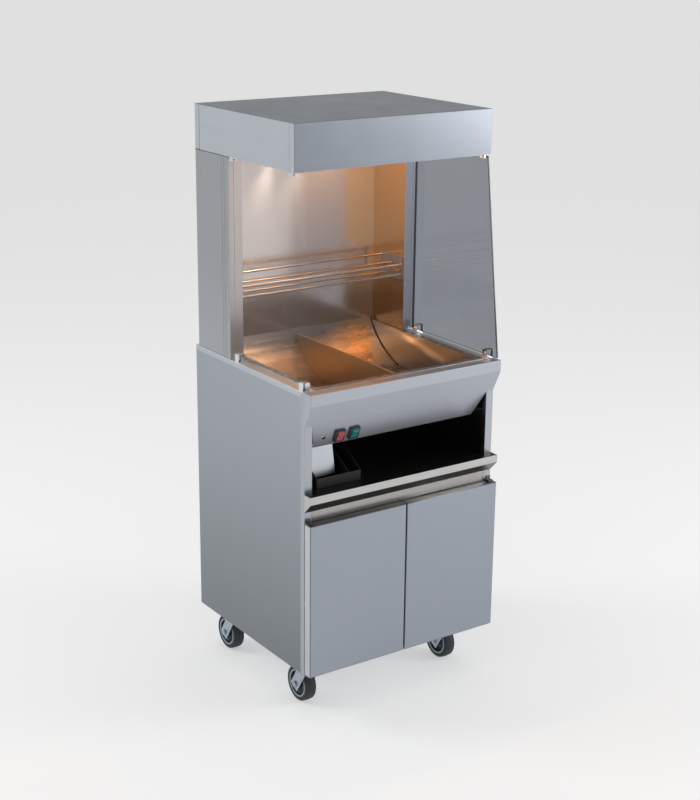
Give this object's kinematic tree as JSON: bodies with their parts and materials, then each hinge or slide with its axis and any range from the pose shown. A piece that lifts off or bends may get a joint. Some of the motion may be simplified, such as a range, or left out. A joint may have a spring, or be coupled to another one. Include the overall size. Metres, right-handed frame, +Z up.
{
  "type": "chip warmer",
  "caption": "Freestanding chip warmer: divided heated well, glass sides, lamp canopy, open recess and a two-door cupboard on swivel casters.",
  "frame": {"origin": "on the floor, under the middle of the unit", "axes": "+X to the unit's right as seen from the front, +Y from the front to the rear, +Z up"},
  "size_m": [0.6, 0.57, 1.549],
  "materials": {
    "brushed_steel": "fine vertical brushing",
    "well_steel": "smooth satin",
    "galvanised": "galvanised sheet",
    "box_steel": "satin",
    "reflector": "polished",
    "bright_wire": "bright",
    "black_plastic": "fine grain",
    "red_rocker": "translucent look",
    "green_rocker": "translucent look",
    "pilot_lamp": "bright ring",
    "magnet": "satin",
    "heater": "oxidised sheath",
    "ceramic": "unglazed",
    "glass": "clear toughened",
    "quartz": "clear tube with a warm filament",
    "zinc": "bright zinc",
    "hub_plastic": "moulded",
    "tyre": "smooth rubber"
  },
  "bodies": {
    "cabinet": {"base_tray": "brushed_steel", "side_panel_left": "brushed_steel", "side_panel_right": "brushed_steel", "front_post_left": "brushed_steel", "front_post_right": "brushed_steel", "door_rail": "brushed_steel", "recess_shelf": "brushed_steel", "worktop": "brushed_steel", "front_panel": "brushed_steel", "cheek_left": "brushed_steel", "cheek_right": "brushed_steel", "gantry_cover": "brushed_steel", "canopy_cover": "brushed_steel", "canopy_sides": "brushed_steel", "well_pan": "well_steel", "display_back": "well_steel", "rear_panel": "galvanised", "heat_shield": "galvanised", "inner_shelf": "galvanised", "recess_back": "galvanised", "switchgear_box": "box_steel", "lamp_deck": "reflector", "wire_rack": "bright_wire", "glass_clips": "bright_wire", "cover_screws": "bright_wire", "door_hinges": "bright_wire", "red_switch_body": "black_plastic", "green_switch_body": "black_plastic", "cable_gland": "black_plastic", "pilot_lamp": "pilot_lamp", "magnet_catches": "magnet", "well_element": "heater", "lamp_holders": "ceramic", "thermostat": "ceramic", "glass_left": "glass", "glass_right": "glass", "quartz_lamps": "quartz", "caster_plates": "zinc"},
    "left_door": {"left_door_skin": "brushed_steel", "left_door_liner": "galvanised"},
    "right_door": {"right_door_skin": "brushed_steel", "right_door_liner": "galvanised"},
    "red_switch": {"red_rocker": "red_rocker"},
    "green_switch": {"green_rocker": "green_rocker"},
    "tray": {"tool_tray": "black_plastic"},
    "left_plate": {"drain_plate_left": "well_steel"},
    "right_plate": {"drain_plate_right": "well_steel"},
    "divider": {"well_divider": "well_steel"},
    "swivel_front_left": {"fork_front_left": "zinc"},
    "wheel_front_left": {"hub_front_left": "hub_plastic", "tyre_front_left": "tyre"},
    "swivel_front_right": {"fork_front_right": "zinc"},
    "wheel_front_right": {"hub_front_right": "hub_plastic", "tyre_front_right": "tyre"},
    "swivel_rear_left": {"fork_rear_left": "zinc"},
    "wheel_rear_left": {"hub_rear_left": "hub_plastic", "tyre_rear_left": "tyre"},
    "swivel_rear_right": {"fork_rear_right": "zinc"},
    "wheel_rear_right": {"hub_rear_right": "hub_plastic", "tyre_rear_right": "tyre"}
  },
  "joints": [
    {"name": "left_door_hinge", "type": "hinge", "parent": "cabinet", "child": "left_door", "pos_m": [-0.294, -0.266, 0.348], "axis": [0, 0, -1], "range_deg": [0, 100]},
    {"name": "right_door_hinge", "type": "hinge", "parent": "cabinet", "child": "right_door", "pos_m": [0.294, -0.266, 0.348], "axis": [0, 0, 1], "range_deg": [0, 100]},
    {"name": "red_switch_rock", "type": "hinge", "parent": "cabinet", "child": "red_switch", "pos_m": [-0.183, -0.23622, 0.76633], "axis": [1, 0, 0], "range_deg": [-14, 0]},
    {"name": "green_switch_rock", "type": "hinge", "parent": "cabinet", "child": "green_switch", "pos_m": [-0.139, -0.23622, 0.76633], "axis": [1, 0, 0], "range_deg": [-14, 0]},
    {"name": "tray_slide", "type": "slide", "parent": "cabinet", "child": "tray", "axis": [0, -1, 0], "range_m": [0, 0.15]},
    {"name": "left_plate_lift", "type": "slide", "parent": "cabinet", "child": "left_plate", "axis": [0, 0, 1], "range_m": [0, 0.14]},
    {"name": "right_plate_lift", "type": "slide", "parent": "cabinet", "child": "right_plate", "axis": [0, 0, 1], "range_m": [0, 0.14]},
    {"name": "divider_lift", "type": "slide", "parent": "cabinet", "child": "divider", "axis": [0, 0, 1], "range_m": [0, 0.14]},
    {"name": "swivel_front_left_turn", "type": "hinge", "parent": "cabinet", "child": "swivel_front_left", "pos_m": [-0.234, -0.182, 0.11], "axis": [0, 0, 1], "continuous": true},
    {"name": "wheel_front_left_spin", "type": "hinge", "parent": "swivel_front_left", "child": "wheel_front_left", "pos_m": [-0.234, -0.144, 0.05], "axis": [1, 0, 0], "continuous": true},
    {"name": "swivel_front_right_turn", "type": "hinge", "parent": "cabinet", "child": "swivel_front_right", "pos_m": [0.234, -0.182, 0.11], "axis": [0, 0, 1], "continuous": true},
    {"name": "wheel_front_right_spin", "type": "hinge", "parent": "swivel_front_right", "child": "wheel_front_right", "pos_m": [0.234, -0.144, 0.05], "axis": [1, 0, 0], "continuous": true},
    {"name": "swivel_rear_left_turn", "type": "hinge", "parent": "cabinet", "child": "swivel_rear_left", "pos_m": [-0.234, 0.193, 0.11], "axis": [0, 0, 1], "continuous": true},
    {"name": "wheel_rear_left_spin", "type": "hinge", "parent": "swivel_rear_left", "child": "wheel_rear_left", "pos_m": [-0.234, 0.231, 0.05], "axis": [1, 0, 0], "continuous": true},
    {"name": "swivel_rear_right_turn", "type": "hinge", "parent": "cabinet", "child": "swivel_rear_right", "pos_m": [0.234, 0.193, 0.11], "axis": [0, 0, 1], "continuous": true},
    {"name": "wheel_rear_right_spin", "type": "hinge", "parent": "swivel_rear_right", "child": "wheel_rear_right", "pos_m": [0.234, 0.231, 0.05], "axis": [1, 0, 0], "continuous": true}
  ]
}
